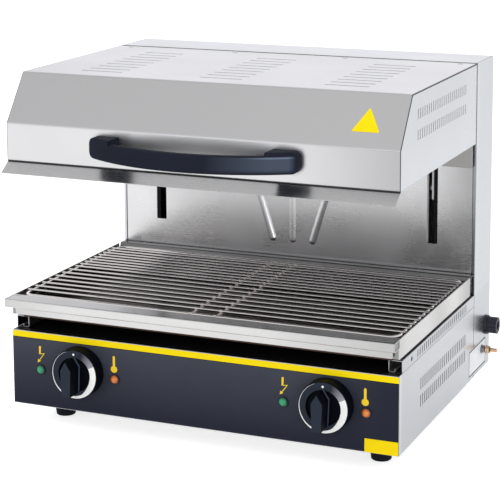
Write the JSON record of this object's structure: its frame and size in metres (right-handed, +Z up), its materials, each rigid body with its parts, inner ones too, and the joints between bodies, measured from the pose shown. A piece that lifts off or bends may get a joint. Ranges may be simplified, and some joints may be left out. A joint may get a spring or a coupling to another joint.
{
  "type": "cheese melter",
  "caption": "Countertop lift-hood salamander grill: an overhead electric hood slides on a rear column above a wire rack and drip tray, with rotary heat controls on a low base.",
  "frame": {"origin": "centre of the bounding box's footprint, on the ground under the feet", "axes": "+Z up; the control panel, handle and knobs face -Y; +X is to the right for somebody who looks at the panel"},
  "size_m": [0.626, 0.524, 0.5258],
  "materials": {
    "steel_case": "fine brushed stainless steel",
    "steel_hood": "fine brushed stainless steel",
    "steel_tray": "bright stainless steel",
    "steel_inner": "plain zinc-grey steel",
    "panel_film": "dark slate blue face with a yellow stripe along its top",
    "black_sheet": "matt black",
    "rubber_feet": "matt near-black navy",
    "handle_plastic": "dark navy, satin",
    "knob_plastic": "near-black navy, satin",
    "regulator_plastic": "moulded brown-grey",
    "green_lens": "translucent green",
    "amber_lens": "translucent amber",
    "lamp_plastic": "dark satin",
    "gland_plastic": "near-black, satin",
    "brass": "bare brass",
    "terminal_plastic": "cream",
    "strut_paint": "gloss black",
    "rod_chrome": "polished",
    "rack_wire": "bright plated wire",
    "element_sheath": "dark heat-tinted sheath",
    "insulation_wool": "dark mineral wool",
    "nylon": "black nylon"
  },
  "bodies": {
    "base": {"base_pan": "steel_inner", "control_panel": "panel_film", "lower_side_left": "steel_case", "lower_side_right": "steel_case", "side_frame_left": "steel_case", "side_frame_right": "steel_case", "tray_rail_left": "steel_inner", "tray_rail_right": "steel_inner", "base_deck": "black_sheet", "column_front": "steel_case", "column_top": "steel_case", "column_rear": "steel_case", "foot_front_left": "rubber_feet", "foot_front_right": "rubber_feet", "foot_rear_left": "rubber_feet", "foot_rear_right": "rubber_feet", "foot_screws": "steel_inner", "heat_regulator_left": "regulator_plastic", "heat_regulator_right": "regulator_plastic", "power_lamps": "green_lens", "heating_lamps": "amber_lens", "lamp_holders": "lamp_plastic", "cable_gland_body": "gland_plastic", "cable_gland_nut": "gland_plastic", "cable_gland_locknut": "gland_plastic", "bonding_stud": "brass", "bonding_nuts": "brass", "terminal_block": "terminal_plastic", "guide_channel_left": "black_sheet", "guide_channel_right": "black_sheet", "gas_strut_left": "strut_paint", "gas_strut_right": "strut_paint", "strut_brackets": "steel_inner", "casing_screws": "steel_inner"},
    "hood": {"hood_cover": "steel_hood", "hood_side_left": "steel_hood", "hood_side_right": "steel_hood", "hood_rear_plate": "steel_hood", "hood_lip": "steel_hood", "hood_reflector": "steel_inner", "hood_insulation": "insulation_wool", "heating_element_left": "element_sheath", "heating_element_right": "element_sheath", "element_hangers": "steel_inner", "hood_handle": "handle_plastic", "handle_screws": "steel_inner", "lift_carriage_left": "steel_inner", "lift_carriage_right": "steel_inner", "guide_shoes": "nylon", "hood_screws": "steel_inner", "strut_rod_left": "rod_chrome", "strut_rod_right": "rod_chrome"},
    "knob_left": {"knob_left": "knob_plastic", "regulator_shaft_left": "steel_inner"},
    "knob_right": {"knob_right": "knob_plastic", "regulator_shaft_right": "steel_inner"},
    "drip_tray": {"drip_tray": "steel_tray"},
    "wire_rack": {"wire_rack": "rack_wire"}
  },
  "joints": [
    {"name": "hood_lift", "type": "slide", "parent": "base", "child": "hood", "axis": [0, 0, 1], "range_m": [-0.15, 0], "stiffness_N_per_m": 60, "springref_m": 2},
    {"name": "knob_left_turn", "type": "hinge", "parent": "base", "child": "knob_left", "pos_m": [-0.1995, -0.2, 0.096], "axis": [0, 1, 0], "range_deg": [0, 300]},
    {"name": "knob_right_turn", "type": "hinge", "parent": "base", "child": "knob_right", "pos_m": [0.1855, -0.2, 0.096], "axis": [0, 1, 0], "range_deg": [0, 300]},
    {"name": "tray_slide", "type": "slide", "parent": "base", "child": "drip_tray", "axis": [0, -1, 0], "range_m": [0, 0.2]},
    {"name": "rack_lift", "type": "slide", "parent": "drip_tray", "child": "wire_rack", "axis": [0, 0, 1], "range_m": [0, 0.02]}
  ]
}
